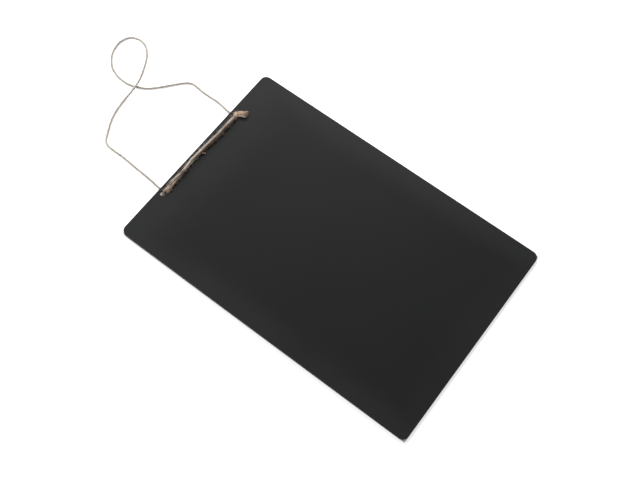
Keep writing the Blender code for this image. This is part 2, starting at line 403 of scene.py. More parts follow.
def rightEndRoute():
    # Right exit, right hole, over the left end and back along it
    points = leadPoints(twine["rightExitX"], holeX)
    foot = points[-1]
    head = besideLeft(crossing["riserX"], 0, crossing["squeeze"])
    for step in range(1, crossing["riserSteps"] + 1):
        share = step / crossing["riserSteps"]
        lean = smoothStep(0, 1, share)
        points.append(Vector((between(foot.x, head.x, lean), between(foot.y, head.y, lean),
                              between(foot.z, head.z, share))))
    for step in range(1, crossing["steps"] + 1):
        share = step / crossing["steps"]
        turns = crossing["turns"] * share
        x = crossing["riserX"] - crossing["pitch"] * turns
        squeeze = between(crossing["squeeze"], crossing["squeezeEnd"], share)
        points.append(besideLeft(x, math.tau * turns, squeeze))
    places = settleSteps()
    frayEnd = pair["frayEnd"] * board["holeSpacing"]
    places += evenSteps(crossing["pairX"], frayEnd, pair["pointStep"])
    for x in places:
        eased = smoothStep(crossing["endX"], crossing["pairX"], x)
        squeeze = between(crossing["squeezeEnd"], 1, eased)
        points.append(besideLeft(x, pairAngle(x), squeeze))
    return points


def twineRoute():
    # The whole twine from the tail to the fray, and where along it the loop begins and ends
    left = [boardPoint(*point) for point in leftEndRoute() + tailRoute()]
    right = [boardPoint(*point) for point in rightEndRoute()]
    radius = twine["diameter"] / 2
    loop = [Vector((x, y, radius + lift)) for x, y, lift in loopRoute["points"]]
    loop.insert(0, Vector((twine["leftExitX"], hingeY, radius)))
    loop.append(Vector((twine["rightExitX"], hingeY, radius)))
    dense = denseCurve(left[::-1] + loop + right)
    reached = reachOf(dense)
    taken = loopRoute["takenPoints"]
    splitKnots = (len(left) - 1 - taken, len(left) + len(loop) + taken)
    splits = [reached[twine["curveSteps"] * knot] for knot in splitKnots]
    points = evenPoints(dense, twine["pointStep"])
    step = reached[-1] / (len(points) - 1)
    for point in points:
        # Past the board it lies on the table, never in it
        if point.y > board["height"] / 2:
            point.z = max(point.z, radius)
    return points, step, [round(split / step) for split in splits]


def turningFrame(points):
    # Directions across the twine that don't turn about it
    sides = []
    side = Vector((0, 0, 1))
    for index, point in enumerate(points):
        ahead = points[min(index + 1, len(points) - 1)] - points[max(index - 1, 0)]
        ahead.normalize()
        side = (side - ahead * side.dot(ahead)).normalized()
        sides.append((side.copy(), ahead.cross(side)))
    return sides


# Twine as three laid plies with stray fibres, and brushes of loose fibres at its ends

plies = {
    "count": 3,
    "radius": 0.00045,
    "offset": 0.00053,
    "sides": 9,
    "layLength": 0.0072,
    "slubScale": 160,
    "slubDepth": 0.5,
    "wobbleScale": 240,
    "wobble": 0.0005,
    "toneSpread": 0.05,
    "roughScale": 2600,
    "roughDepth": 0.00016,
    # for each metre: radians that the fibres turn about their ply, and units of their pattern
    "fibreTurn": -900,
    "streakLength": 160,
    "frayedLoss": 0.5,
}

strays = {
    "density": 160000.0,
    "length": 0.0022,
    "radius": 0.00003,
    "sides": 3,
    "segments": 5,
    # a fibre of length 1: its middle, its end and the share of its width that it loses
    "bend": (0.5, 0.1, 0.05),
    "end": (1, -0.15, 0.5),
    "taper": 0.7,
    "reach": 0.0022,
    "sizes": (0.35, 1.5),
    "spin": 0.9,
    "lean": (-0.5, 0.35),
    "wander": 0.005,
    "wanderScale": 420,
}

brush = {
    # fibres lie in a few locks about a line; spread and wander are shares of the line's half width
    "locks": 7,
    "lockSpread": 0.70,
    "lockReach": (0.35, 1.0),
    "lockTone": 0.2,
    "lockWarmth": (0.05, 1.0),
    "widths": (0.6, 1.5),
    "sides": 4,
    "tipShare": 0.5,
    "turn": 160,
    "wander": 1.3,
    "wanderScale": 260,
    "wanderDetail": 2.0,
    # a fibre's number is drawn up to this, and its wander is that many steps from the others'
    "numbers": 50,
    "numberStep": 1.7,
    # a brush takes every third point of the twine
    "stride": 3,
    "tipTrim": 0.26,
    "rootTrim": 0.40,
}

seeds = {
    "plyTone": 2, "halfTurn": 3, "spin": 4, "lean": 5, "hairSize": 6, "fibreNumber": 7,
    "fibreReach": 8, "fibreAngle": 9, "tipTrim": 10, "rootTrim": 11, "fibreWidth": 12,
    "lockTone": 13, "lockWarmth": 14, "lockReach": 15,
}


def makeTwineTree():
    tree = bpy.data.node_groups.new("laidTwine", "GeometryNodeTree")
    face = tree.interface
    face.new_socket("Geometry", in_out="INPUT", socket_type="NodeSocketGeometry")
    for name, value in {
        "Plies": plies["count"],
        "Ply Radius": plies["radius"],
        "Ply Offset": plies["offset"],
        "Ply Sides": plies["sides"],
        "Lay Length": plies["layLength"],
        "Stray Density": strays["density"],
        "Stray Length": strays["length"],
        "Stray Radius": strays["radius"],
        "Brush Fibres": 0,
        "Brush Fibre Radius": strays["radius"],
        "Brush Locks": brush["locks"],
        "Seed": 1,
    }.items():
        kind = "NodeSocketInt" if isinstance(value, int) else "NodeSocketFloat"
        face.new_socket(name, in_out="INPUT", socket_type=kind).default_value = value
    face.new_socket("Material", in_out="INPUT", socket_type="NodeSocketMaterial")
    face.new_socket("Geometry", in_out="OUTPUT", socket_type="NodeSocketGeometry")
    given = tree.nodes.new("NodeGroupInput").outputs
    result = tree.nodes.new("NodeGroupOutput")

    def attribute(name, kind="FLOAT"):
        return output(tree, "GeometryNodeInputNamedAttribute", {"Name": name}, data_type=kind)

    def keep(geometry, name, value, kind="FLOAT"):
        inputs = {"Geometry": geometry, "Name": name, "Value": value}
        return output(tree, "GeometryNodeStoreNamedAttribute", inputs, data_type=kind)

    def chance(low, high, use, number=None):
        # A random value, or the same one for all that has the same number
        inputs = {2: low, 3: high, "Seed": calc(tree, "ADD", given["Seed"], seeds[use])}
        if number is not None:
            inputs["ID"] = number
        return addNode(tree, "FunctionNodeRandomValue", inputs, data_type="FLOAT").outputs[1]

    def circle(sides):
        inputs = {"Resolution": sides, "Radius": 1.0}
        return output(tree, "GeometryNodeCurvePrimitiveCircle", inputs)

    def shifted(geometry, offset):
        return output(tree, "GeometryNodeSetPosition", {"Geometry": geometry, "Offset": offset})

    def swept(curve, profile, scale):
        inputs = {"Curve": curve, "Profile Curve": profile, "Scale": scale, "Fill Caps": True}
        return output(tree, "GeometryNodeCurveToMesh", inputs)

    def across(angle, distance):
        # Offset from the centreline at an angle about it
        first = scaled(tree, attribute("sideA", "FLOAT_VECTOR"), calc(tree, "COSINE", angle))
        second = scaled(tree, attribute("sideB", "FLOAT_VECTOR"), calc(tree, "SINE", angle))
        return scaled(tree, calcVector(tree, "ADD", first, second), distance)

    def drift(place, scale, amount, detail=1.0):
        # Noise about zero
        pattern = noise(tree, place, scale, detail)["Color"]
        return scaled(tree, calcVector(tree, "SUBTRACT", pattern, (0.5, 0.5, 0.5)), amount)

    def vector(x=0.0, y=0.0, z=0.0):
        return output(tree, "ShaderNodeCombineXYZ", {"X": x, "Y": y, "Z": z})

    def copied(part, amount):
        # The lines of a part, each several times over, and the number of each copy
        line = output(tree, "GeometryNodeMeshToCurve", {"Mesh": parts[part]})
        copies = addNode(tree, "GeometryNodeDuplicateElements",
                         {"Geometry": line, "Amount": amount}, domain="SPLINE").outputs
        return copies["Geometry"], copies["Duplicate Index"]

    along = attribute("along")
    girth = attribute("girth")
    position = output(tree, "GeometryNodeInputPosition")
    reach = addNode(tree, "GeometryNodeSplineParameter").outputs["Factor"]
    parts = addNode(tree, "GeometryNodeSeparateGeometry",
                    {"Geometry": given["Geometry"], "Selection": attribute("loose")}).outputs

    # Plies: the centreline three times over, each shifted round it as it goes
    laid, number = copied("Inverted", given["Plies"])
    plyShare = calc(tree, "DIVIDE", number, given["Plies"])
    turns = calc(tree, "ADD", calc(tree, "DIVIDE", along, given["Lay Length"]), plyShare)
    laid = keep(laid, "plyShare", plyShare)
    laid = shifted(laid, across(times(tree, turns, math.tau),
                                times(tree, given["Ply Offset"], girth)))
    laid = shifted(laid, drift(position, plies["wobbleScale"], plies["wobble"]))
    plyTone = chance(-plies["toneSpread"], plies["toneSpread"], "plyTone", number)
    laid = keep(laid, "tone", calc(tree, "ADD", attribute("tone"), plyTone))
    laid = keep(laid, "runDirection", output(tree, "GeometryNodeInputTangent"), "FLOAT_VECTOR")
    slub = timesPlus(tree, noise(tree, position, plies["slubScale"])["Fac"],
                     plies["slubDepth"], 1 - plies["slubDepth"] / 2)
    ring = keep(circle(given["Ply Sides"]), "ring", position, "FLOAT_VECTOR")
    laid = swept(laid, ring, times(tree, slub, girth, given["Ply Radius"]))
    normal = output(tree, "GeometryNodeInputNormal")
    rough = calc(tree, "SUBTRACT", noise(tree, position, plies["roughScale"])["Fac"], 0.5)
    laid = shifted(laid, scaled(tree, normal, times(tree, rough, plies["roughDepth"])))
    turned = output(tree, "ShaderNodeVectorRotate",
                    {"Vector": attribute("ring", "FLOAT_VECTOR"),
                     "Angle": times(tree, along, plies["fibreTurn"])}, rotation_type="Z_AXIS")
    lengthwise = timesPlus(tree, along, plies["streakLength"],
                           times(tree, attribute("plyShare"), plies["streakLength"]))
    laid = keep(laid, "strandCoord", calcVector(tree, "ADD", turned, vector(z=lengthwise)),
                "FLOAT_VECTOR")

    # Stray fibres that stand off the plies
    scatter = addNode(tree, "GeometryNodeDistributePointsOnFaces",
                      {"Mesh": laid, "Density": given["Stray Density"],
                       "Seed": given["Seed"]}).outputs
    stand = output(tree, "FunctionNodeAxesToRotation",
                   {"Primary Axis": scatter["Normal"],
                    "Secondary Axis": attribute("runDirection", "FLOAT_VECTOR")})
    halfTurn = times(tree, calc(tree, "ROUND", chance(0, 1, "halfTurn")), math.pi)
    spin = calc(tree, "ADD", halfTurn, chance(-strays["spin"], strays["spin"], "spin"))
    lean = vector(y=chance(*strays["lean"], "lean"), z=spin)
    euler = output(tree, "FunctionNodeEulerToRotation", {"Euler": lean})
    stand = output(tree, "FunctionNodeRotateRotation", {"Rotation": stand, "Rotate By": euler},
                   rotation_space="LOCAL")
    hair = output(tree, "GeometryNodeCurveQuadraticBezier",
                  {"Resolution": strays["segments"], "Start": (0, 0, 0),
                   "Middle": strays["bend"], "End": strays["end"]})
    hair = keep(hair, "offCore", reach)
    length = given["Stray Length"]
    hair = output(tree, "GeometryNodeTransform",
                  {"Geometry": hair, "Scale": vector(length, length, length)})
    slim = timesPlus(tree, reach, -strays["taper"], 1.0)
    hair = swept(hair, circle(strays["sides"]), times(tree, slim, given["Stray Radius"]))
    hairs = output(tree, "GeometryNodeInstanceOnPoints",
                   {"Points": scatter["Points"], "Instance": hair, "Rotation": stand,
                    "Scale": chance(*strays["sizes"], "hairSize")})
    hairs = output(tree, "GeometryNodeRealizeInstances", {"Geometry": hairs})
    hairs = shifted(hairs, drift(position, strays["wanderScale"],
                                 times(tree, attribute("offCore"), strays["wander"])))

    # Brushes: single fibres in a few locks along a line, the locks spread across its width
    fibres, number = copied("Selection", given["Brush Fibres"])
    lock = calc(tree, "MODULO", number, given["Brush Locks"])
    fibres = keep(fibres, "fibreNumber", chance(0, brush["numbers"], "fibreNumber", number))
    fibres = keep(fibres, "fibreWidth", chance(*brush["widths"], "fibreWidth", number))
    lockTone = chance(-brush["lockTone"], brush["lockTone"], "lockTone", lock)
    fibres = keep(fibres, "tone", calc(tree, "ADD", attribute("tone"), lockTone))
    lockWarmth = chance(*brush["lockWarmth"], "lockWarmth", lock)
    fibres = keep(fibres, "warmth", times(tree, attribute("warmth"), lockWarmth))
    lockAngle = timesPlus(tree, calc(tree, "DIVIDE", lock, given["Brush Locks"]), math.tau,
                          times(tree, along, brush["turn"]))
    lockReach = times(tree, chance(*brush["lockReach"], "lockReach", lock),
                      brush["lockSpread"], girth)
    fibreAngle = chance(0, math.tau, "fibreAngle", number)
    fibreReach = times(tree, calc(tree, "SQRT", chance(0, 1, "fibreReach", number)),
                       1 - brush["lockSpread"], girth)
    fibres = shifted(fibres, calcVector(tree, "ADD", across(lockAngle, lockReach),
                                        across(fibreAngle, fibreReach)))
    apart = vector(x=times(tree, attribute("fibreNumber"), brush["numberStep"]))
    place = calcVector(tree, "ADD", scaled(tree, position, brush["wanderScale"]), apart)
    fibres = shifted(fibres, drift(place, 1.0, times(tree, girth, brush["wander"]),
                                   brush["wanderDetail"]))
    fibres = output(tree, "GeometryNodeTrimCurve",
                    {"Curve": fibres, 2: chance(0, brush["tipTrim"], "tipTrim"),
                     3: chance(1 - brush["rootTrim"], 1.0, "rootTrim")}, mode="FACTOR")
    slim = times(tree, timesPlus(tree, reach, 1 - brush["tipShare"], brush["tipShare"]),
                 times(tree, attribute("coarseness"), attribute("fibreWidth")),
                 given["Brush Fibre Radius"])
    fibres = swept(fibres, circle(brush["sides"]), slim)
    lengthwise = times(tree, along, plies["streakLength"])
    fibres = keep(fibres, "strandCoord", vector(x=attribute("fibreNumber"), z=lengthwise),
                  "FLOAT_VECTOR")

    joined = tree.nodes.new("GeometryNodeJoinGeometry")
    for part in (fibres, hairs, laid):
        tree.links.new(part, joined.inputs[0])
    made = output(tree, "GeometryNodeSetShadeSmooth", {"Geometry": joined.outputs[0]})
    made = output(tree, "GeometryNodeRealizeInstances", {"Geometry": made})
    made = output(tree, "GeometryNodeSetMaterial",
                  {"Geometry": made, "Material": given["Material"]})
    tree.links.new(made, result.inputs[0])
    return tree


lookNames = ("along", "girth", "warmth", "dusk", "tone", "faded", "coarseness", "loose")


def makeLine(points, sides, coarseness, **looks):
    # The looks at each of a line's points; with a coarseness it is a brush
    looks = {**looks, "coarseness": coarseness, "loose": 1.0 if coarseness else 0.0}
    line = {"points": points, "sides": sides}
    for name in lookNames:
        look = looks.get(name, 0.0)
        line[name] = look if isinstance(look, list) else [look] * len(points)
    return line


def makeLineMesh(name, lines):
    # Edges along each line, with its looks kept at its points
    vertices, edges = [], []
    for line in lines:
        first = len(vertices)
        vertices += line["points"]
        edges += [(first + index, first + index + 1) for index in range(len(line["points"]) - 1)]
    mesh = bpy.data.meshes.new(name)
    mesh.from_pydata(vertices, edges, [])
    for label in lookNames:
        values = [value for line in lines for value in line[label]]
        mesh.attributes.new(label, "FLOAT", "POINT").data.foreach_set("value", values)
    for place, label in enumerate(("sideA", "sideB")):
        values = [value for line in lines for pair in line["sides"] for value in pair[place]]
        mesh.attributes.new(label, "FLOAT_VECTOR", "POINT").data.foreach_set("vector", values)
    return mesh


def aboutBoard(point):
    # How far along the board from its lower edge, and how high over its back
    up = point.y + board["height"] / 2
    return (up * math.cos(tilt) + point.z * math.sin(tilt),
            point.z * math.cos(tilt) - up * math.sin(tilt))


def combStrays(mesh, points, reach):
    # No fibre stands further off the twine than its reach, or goes into the table or the panel
    tree = kdtree.KDTree(len(points))
    for index, point in enumerate(points):
        tree.insert(point, index)
    tree.balance()
    low = strays["radius"]
    for vertex in mesh.vertices:
        core, _, distance = tree.find(vertex.co)
        if distance > reach:
            vertex.co = core.lerp(vertex.co, reach / distance)
        along, height = aboutBoard(vertex.co)
        inHole = math.hypot(abs(vertex.co.x) - holeX, along - holeY) < board["holeDiameter"] / 2
        inPanel = -low < height < board["thickness"] + low and along < board["height"] + low
        if inPanel and not inHole:
            onFace = aboutBoard(core)[1] > board["thickness"] / 2
            height = board["thickness"] + low if onFace else -low
            vertex.co = boardPoint(vertex.co.x, along, height)
        vertex.co.z = max(vertex.co.z, low)


def makeTwinePiece(name, lines, tree, material, piece):
    route = addObject(name + "Route", makeLineMesh(name + "Route", lines))
    modifier = route.modifiers.new("laidTwine", "NODES")
    modifier.node_group = tree
    values = {**piece["tree"], "Material": material}
    for item in tree.interface.items_tree:
        if item.in_out == "INPUT" and item.name in values:
            modifier[item.identifier] = values[item.name]
    mesh = finishedMesh(route, name)
    combStrays(mesh, [point for line in lines for point in line["points"]], piece["reach"])
    print(name, len(mesh.vertices), "vertices", len(mesh.polygons), "faces")
    return addObject(name, mesh)


leftEnd = {
    "tree": {"Seed": 11, "Brush Fibres": 44, "Brush Fibre Radius": 0.00013, "Brush Locks": 2,
             "Stray Density": 650000.0, "Stray Length": 0.003, "Stray Radius": 0.00007},
    "reach": 0.004,
    # warmth of the plies at the tip, and over how many lengths of the tail it fades
    "coreWarmth": 0.5,
    "coreWarmTails": 1.6,
    # over the middle of the pair it has less painted shade and is a little paler
    "middleRise": (-0.012, -0.006),
    "middleFall": (0.016, 0.010),
    "middlePaintedShadeLoss": 0.8,
    "middleTone": 0.06,
    # the tail is a brush of five locks from under the crossing: each lies across and over the
    # line of the tail by shares of the free width, stops short of its end, and has a warmth and
    # a tone at its root and at its tip
    "locks": (
        (-0.80, -0.2, 0.0030, (0.5, 0.1), (0.10, 0.20)),
        (-0.35, -0.4, 0.0020, (0.8, 0.5), (0.14, 0.06)),
        (0.10, 0.4, 0.0012, (1.0, 0.5), (0.18, 0.12)),
        (0.55, -0.3, 0.0010, (1.0, 1.0), (0.14, -0.04)),
        (1.0, 0.2, 0.0006, (1.0, 0.1), (0.14, 0.24)),
    ),
    "coarseness": 1.0,
    "lockWidths": (0.0012, 0.00078),
    "wave": 0.0004,
    "waveLength": 0.0075,
    "tipShade": 0.24,
    "tipLength": 0.0028,
    "rootLength": 0.0045,
    "rootSpread": 0.0025,
    "tipSpread": 0.0031,
    "pastEnd": 0.0032,
    "openLength": 0.009,
}

rightEnd = {
    # the fray at the left hole, a looser brush over the crossing and loose fibres below the pair
    "tree": {"Seed": 23, "Brush Fibres": 150, "Brush Fibre Radius": 0.00011,
             "Stray Density": 700000.0, "Stray Length": 0.003, "Stray Radius": 0.00007},
    "reach": 0.004,
    "frayCoarseness": 1.0,
    "rootLength": 0.008,
    "fraySpread": (0.0009, 0.0021),
    "pastEnd": 0.0011,
    "crossingSpread": 0.0010,
    "crossingCoarseness": 0.8,
    "crossingTone": 0.20,
    "looseSpread": (0.0012, 0.0007),
    "looseCoarseness": 0.4,
    "looseFrom": 0.040,
    "frayTone": -0.02,
    # painted shade: on the fray, on the lower strand that lies in the upper strand's shade, and
    # where along the front that shade rises to full
    "frayPaintedShade": 0.46,
    "lowerPaintedShade": 1.3,
    "paintedShadeRise": (-0.014, -0.004),
    "crossingFrom": 0.0464,
    "crossingFull": 0.0484,
    "warmth": 0.55,
}

hangingLoop = {
    "tree": {"Seed": 37, "Ply Radius": 0.00049, "Ply Offset": 0.00056},
    "reach": strays["reach"],
}

tufts = {
    # short locks that stand off the pair: place along the front, reach below it (above it where
    # negative) and along it, tone and share of painted shade
    "places": (
        (-0.0445, 0.0026, 0.0016, -0.20, 0.8), (-0.0375, 0.0029, 0.0020, -0.20, 0.9),
        (-0.0335, 0.0027, -0.0012, -0.20, 0.9), (-0.0280, 0.0028, 0.0018, -0.20, 0.9),
        (-0.0225, 0.0025, 0.0018, -0.15, 0.8), (-0.0070, 0.0024, 0.0014, -0.15, 0.9),
        (0.0005, 0.0034, 0.0022, 0.04, 0.3), (0.0170, 0.0024, 0.0018, -0.20, 1.0),
        (0.0280, 0.0026, -0.0014, -0.05, 0.6), (-0.0435, -0.0030, 0.0014, -0.15, 0.8),
        (-0.0400, -0.0031, 0.0010, -0.15, 0.8), (-0.0370, -0.0029, -0.0012, -0.15, 0.8),
        (-0.0210, -0.0018, 0.0014, -0.10, 0.6),
    ),
    "steps": 5,
    "tipHeight": 0.0006,
    "spread": 0.0006,
    "coarseness": 0.35,
}


def tuftLine(x, below, along, tone, dusk):
    # From the tip back to the strand that it stands off
    root = besideLeft(x, pairAngle(x)) if below > 0 else leftStrandPoint(x)
    drop = board["thickness"] + tufts["tipHeight"] - root.z
    points = []
    for step in range(tufts["steps"], -1, -1):
        share = step / tufts["steps"]
        offset = Vector((along * share, -below * share, drop * share * share))
        points.append(boardPoint(*(root + offset)))
    return makeLine(points, turningFrame(points), tufts["coarseness"], along=reachOf(points),
                    girth=tufts["spread"], warmth=rightEnd["warmth"], dusk=dusk, tone=tone)


def makeTwine(material):
    points, step, splits = twineRoute()
    tailPoints = round(reachOf([boardPoint(*point) for point in tailRoute()])[-1] / step)
    before = round(leftEnd["pastEnd"] / step)
    past = round(rightEnd["pastEnd"] / step)
    lead = points[0] - points[1]
    follow = points[-1] - points[-2]
    points = ([points[0] + lead * count for count in range(before, 0, -1)] + points
              + [points[-1] + follow * count for count in range(1, past + 1)])
    tailPoints += before
    splits = [split + before for split in splits]
    end = len(points) - 1 - past
    sides = turningFrame(points)
    tree = makeTwineTree()

    def line(first, last, coarseness=0.0, shiftAt=None, **looks):
        # A stretch of the twine, each look a value or a function of the index; with a coarseness
        # it is a brush, its tip at the first point
        stride = brush["stride"] if coarseness else 1
        span = range(first, last + 1, stride) if last > first else range(first, last - 1, -stride)
        placed = []
        for index in span:
            shift = shiftAt(index) if shiftAt else (0, 0)
            placed.append(points[index] + sides[index][0] * shift[0] + sides[index][1] * shift[1])
        looks = {name: [look(index) for index in span] if callable(look) else look
                 for name, look in looks.items()}
        return makeLine(placed, [sides[index] for index in span], coarseness,
                        along=[step * index for index in span], **looks)

    def tailLock(across, over, short, warmths, tones):
        tip = round(short / step)

        def opened(index):
            return smoothStep(tailPoints, tailPoints - leftEnd["openLength"] / step, index)

        def width(index):
            return between(*leftEnd["lockWidths"], opened(index))

        def shift(index):
            free = (leftEnd["rootSpread"] - width(index)
                    + (leftEnd["tipSpread"] - leftEnd["rootSpread"]) * opened(index))
            place = index * step / leftEnd["waveLength"] + across
            wave = leftEnd["wave"] * opened(index) * math.sin(math.tau * place)
            return over * free, across * free + wave

        def tone(index):
            shade = 1 - smoothStep(tip, tip + leftEnd["tipLength"] / step, index)
            return between(*tones, opened(index)) - leftEnd["tipShade"] * shade

        return line(tip, tailPoints + round(leftEnd["rootLength"] / step), leftEnd["coarseness"],
                    shift, girth=width, tone=tone,
                    warmth=lambda index: between(*warmths, opened(index)))

    def frayed(start, full):
        # The girth of the plies where they open out into a brush
        return lambda index: 1 - plies["frayedLoss"] * smoothStep(start, full, index)

    def coreWarmth(index):
        return leftEnd["coreWarmth"] * smoothStep(tailPoints * leftEnd["coreWarmTails"], 0, index)

    def middle(index):
        x = points[index].x
        return smoothStep(*leftEnd["middleRise"], x) * smoothStep(*leftEnd["middleFall"], x)

    left = makeTwinePiece(
        "leftTwineEnd",
        [
            line(tailPoints // 2, splits[0], girth=frayed(tailPoints, tailPoints // 2),
                 warmth=coreWarmth,
                 dusk=lambda index: pair["dusk"] * (1 - leftEnd["middlePaintedShadeLoss"] * middle(index)),
                 tone=lambda index: leftEnd["middleTone"] * middle(index)),
            *[tailLock(*lock) for lock in leftEnd["locks"]],
        ],
        tree, material, leftEnd)

    frayX = pair["frayStart"] * board["holeSpacing"]
    frayIndex = next(i for i in range(end, 0, -1) if points[i].x > frayX)
    riseIndex = next(i for i in range(splits[1], end) if points[i].z > board["thickness"] + lying)
    downIndex = next(i for i in range(riseIndex, end) if points[i].x < rightEnd["crossingFrom"])

    def fraySpread(index):
        return between(*rightEnd["fraySpread"], smoothStep(frayIndex, end, index))

    def looseSpread(index):
        narrow = smoothStep(rightEnd["looseFrom"], rightEnd["crossingFrom"], points[index].x)
        return between(*rightEnd["looseSpread"], narrow)

    # Painted shade along the right end: rising to full on the lower strand under the upper one, and
    # none over the crossing
    def paintedShadeAlong(index):
        x = points[index].x
        dusk = between(pair["dusk"], rightEnd["lowerPaintedShade"], smoothStep(*rightEnd["paintedShadeRise"], x))
        return dusk * (1 - smoothStep(rightEnd["crossingFrom"], rightEnd["crossingFull"], x))

    warmth = rightEnd["warmth"]
    right = makeTwinePiece(
        "rightTwineEnd",
        [
            line(splits[1], end, girth=frayed(frayIndex, end), dusk=paintedShadeAlong,
                 warmth=lambda index: warmth * smoothStep(frayIndex, end, index)),
            line(end + past, frayIndex - round(rightEnd["rootLength"] / step),
                 rightEnd["frayCoarseness"], girth=fraySpread, warmth=warmth,
                 dusk=rightEnd["frayPaintedShade"], tone=rightEnd["frayTone"]),
            line(downIndex, riseIndex, rightEnd["crossingCoarseness"],
                 girth=rightEnd["crossingSpread"], warmth=warmth, tone=rightEnd["crossingTone"]),
            line(frayIndex, downIndex, rightEnd["looseCoarseness"], girth=looseSpread,
                 warmth=warmth, dusk=paintedShadeAlong),
            *[tuftLine(*place) for place in tufts["places"]],
        ],
        tree, material, rightEnd)

    loop = makeTwinePiece("hangingTwineLoop", [line(*splits, girth=1.0, faded=1.0)],
                          tree, material, hangingLoop)
    return left, right, loop, points[splits[0]:splits[1] + 1]


# Panel

def roundedOutline(width, height, radius, steps):
    # Each corner's side of the middle, and the angle at which its arc starts
    corners = ((1, 1, 0), (-1, 1, 90), (-1, -1, 180), (1, -1, 270))
    points = []
    for signX, signY, start in corners:
        for step in range(steps + 1):
            angle = math.radians(start + 90 * step / steps)
            points.append((
                signX * (width / 2 - radius) + radius * math.cos(angle),
                signY * (height / 2 - radius) + radius * math.sin(angle),
            ))
    return points


def makePanel(material):
    # A filled outline with two round holes, given its thickness and soft arrises by the curve bevel
    arris = board["arrisRadius"]
    curve = bpy.data.curves.new("chalkboardPanel", "CURVE")
    curve.dimensions = "2D"
    curve.fill_mode = "BOTH"
    curve.extrude = board["thickness"] / 2 - arris
    curve.bevel_depth = arris
    curve.bevel_resolution = board["arrisSteps"]
    outline = roundedOutline(
        board["width"] - 2 * arris, board["height"] - 2 * arris,
        board["cornerRadius"] - arris, board["cornerSteps"])
    holes = []
    for side in (-1, 1):
        ring = []
        for step in range(board["holeSteps"]):
            angle = -math.tau * step / board["holeSteps"]
            radius = board["holeDiameter"] / 2 + arris
            ring.append((side * holeX + radius * math.cos(angle),
                         holeY - board["height"] / 2 + radius * math.sin(angle)))
        holes.append(ring)
    for loop in [outline] + holes:
        spline = curve.splines.new("POLY")
        spline.points.add(len(loop) - 1)
        for target, (x, y) in zip(spline.points, loop):
            target.co = (x, y, 0, 1)
        spline.use_cyclic_u = True
    mesh = finishedMesh(addObject("panelOutline", curve), "chalkboardPanel")
    half = board["thickness"] / 2
    rim = [0.0 if abs(abs(vertex.co.z) - half) < board["faceTolerance"] else 1.0
           for vertex in mesh.vertices]
    mesh.attributes.new("rim", "FLOAT", "POINT").data.foreach_set("value", rim)
    for face in mesh.polygons:
        face.use_smooth = abs(face.normal.z) < board["flatNormal"]
    for vertex in mesh.vertices:
        x, y, z = vertex.co
        vertex.co = boardPoint(x, y + board["height"] / 2, z + half)
    mesh.materials.clear()
    mesh.materials.append(material)
    print("panel", len(mesh.vertices), "vertices")
    return addObject("chalkboardPanel", mesh)


# Materials

def newMaterial(name):
    material = bpy.data.materials.new(name)
    material.use_nodes = True
    return material, material.node_tree, material.node_tree.nodes["Principled BSDF"]


def makeRamp(tree, factor, places, colours):
    node = addNode(tree, "ShaderNodeValToRGB", {"Fac": factor})
    elements = node.color_ramp.elements
    while len(elements) < len(places):
        elements.new(0.5)
    for element, place, colour in zip(elements, places, colours):
        element.position = place
        element.color = (*colour, 1)
    return node.outputs["Color"]


lacquer = {
    "colour": (0.0088, 0.0090, 0.0094),
    "dustAndSheen": (0.0180, 0.0182, 0.0186),
    "worn": (0.024, 0.0245, 0.025),
    "cloudiness": 0.06,
    "hazeStops": (0.3, 0.7),
    # where the paler chalk dust and painted sheen start and are full, from the board's middle
    "sideDustAndSheen": (0.070, 0.098),
    "topDustAndSheen": (0.090, 0.140),
    "lowDustAndSheen": (0.118, 0.150),
    "lowDustAndSheenShare": 0.5,
    "dustAndSheenHaze": 1.2,
    "leastDustAndSheen": 0.2,
    "roughness": 0.52,
    "roughnessSpread": 0.06,
    "specular": 0.105,
    # scale and detail of each pattern
    "haze": (14, 5.0),
    "cloud": (260, 3.0),
    "grain": (1500, 2.0),
    "grainDepth": 0.00004,
    "grainStrength": 0.12,
}


def makeLacquer():
    # Matte black, paler towards the long edges, the top and the lower edge with chalk dust and
    # painted sheen, and with paler worn arrises
    material, tree, shader = newMaterial("blackboardLacquer")
    place = tree.nodes.new("ShaderNodeTexCoord").outputs["Object"]
    haze, cloud, grain = [noise(tree, place, *lacquer[name])["Fac"]
                          for name in ("haze", "cloud", "grain")]
    deep = [(1 - lacquer["cloudiness"]) * value for value in lacquer["colour"]]
    pale = [(1 + lacquer["cloudiness"]) * value for value in lacquer["colour"]]
    colour = makeRamp(tree, haze, lacquer["hazeStops"], (deep, pale))
    axes = addNode(tree, "ShaderNodeSeparateXYZ", {"Vector": place}).outputs
    sides = smoothMap(tree, calc(tree, "ABSOLUTE", axes["X"]), *lacquer["sideDustAndSheen"])
    top = smoothMap(tree, axes["Y"], *lacquer["topDustAndSheen"])
    low = smoothMap(tree, times(tree, axes["Y"], -1), *lacquer["lowDustAndSheen"])
    ends = calc(tree, "MAXIMUM", top, times(tree, low, lacquer["lowDustAndSheenShare"]))
    # Painted sheen with chalk dust: paler towards the long edges and the top, and half as much at
    # the lower edge
    dustAndSheenMask = times(tree, calc(tree, "MAXIMUM", sides, ends),
                  timesPlus(tree, haze, lacquer["dustAndSheenHaze"], lacquer["leastDustAndSheen"]))
    colour = tinted(tree, colour, dustAndSheenMask, lacquer["dustAndSheen"])
    rim = addNode(tree, "ShaderNodeAttribute", attribute_name="rim").outputs["Fac"]
    colour = tinted(tree, colour, times(tree, rim, cloud), lacquer["worn"])
    rough = timesPlus(tree, calc(tree, "ADD", haze, cloud), lacquer["roughnessSpread"],
                      lacquer["roughness"] - lacquer["roughnessSpread"])
    bump = addNode(tree, "ShaderNodeBump", {"Height": grain, "Strength": lacquer["grainStrength"],
                                            "Distance": lacquer["grainDepth"]})
    feed(tree, shader, {"Base Color": colour, "Roughness": rough, "Normal": bump.outputs[0],
                        "Specular IOR Level": lacquer["specular"]})
    return material


